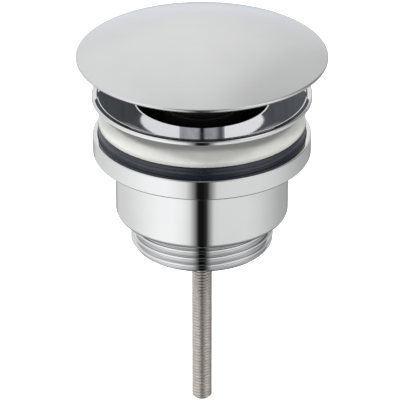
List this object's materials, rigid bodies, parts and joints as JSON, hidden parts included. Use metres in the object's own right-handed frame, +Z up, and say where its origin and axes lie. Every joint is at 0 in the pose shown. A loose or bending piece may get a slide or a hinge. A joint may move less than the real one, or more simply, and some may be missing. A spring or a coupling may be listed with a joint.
{
  "type": "pop-up basin waste",
  "caption": "Press-to-open basin waste with a domed cap over a dish flange, basin seals, a threaded tail and a central clamping rod.",
  "frame": {"origin": "on the axis, at the underside of the flange's lip, where the waste sits in the basin's hole", "axes": "+Z up along the axis of the waste, towards the cap"},
  "size_m": [0.0728, 0.0728, 0.1215],
  "materials": {
    "chrome": "polished chrome plate on brass",
    "stainless": "drawn and rolled stainless steel",
    "brass": "machined brass",
    "black_rubber": "smooth moulded rubber",
    "white_rubber": "soft off-white moulded rubber",
    "cam_plastic": "natural acetal",
    "housing_plastic": "black glass-filled moulding"
  },
  "bodies": {
    "waste_top": {"top_flange": "chrome", "basin_gasket": "white_rubber", "cartridge_housing": "housing_plastic", "guide_bush": "housing_plastic", "stem_o_ring": "black_rubber", "follower_circlip": "stainless", "return_spring": "stainless", "housing_washer": "stainless", "cartridge_nut": "brass", "clamp_rod": "stainless"},
    "plug": {"cap_dome": "chrome", "cap_insert": "brass", "seal_plate": "stainless", "cap_seal": "black_rubber", "plunger_stem": "chrome", "cam_barrel": "cam_plastic"},
    "follower": {"follower_ring": "cam_plastic"},
    "tail": {"tail_body": "chrome", "clamp_seal": "black_rubber", "clamp_washer": "stainless", "clamp_nut": "stainless"}
  },
  "joints": [
    {"name": "cap_press", "type": "slide", "parent": "waste_top", "child": "plug", "axis": [0, 0, 1], "range_m": [-0.0095, 0], "stiffness_N_per_m": 500, "springref_m": 0.01, "deforming": ["return_spring"]},
    {"name": "follower_turn", "type": "hinge", "parent": "waste_top", "child": "follower", "pos_m": [0, 0, -0.0172], "axis": [0, 0, 1], "range_deg": [0, 60]},
    {"name": "tail_clamp", "type": "slide", "parent": "waste_top", "child": "tail", "axis": [0, 0, 1], "range_m": [-0.045, 0]}
  ],
  "couplings": [
    {"joint": "follower_turn", "follows": "cap_press", "rad_per_m": -110.23}
  ]
}
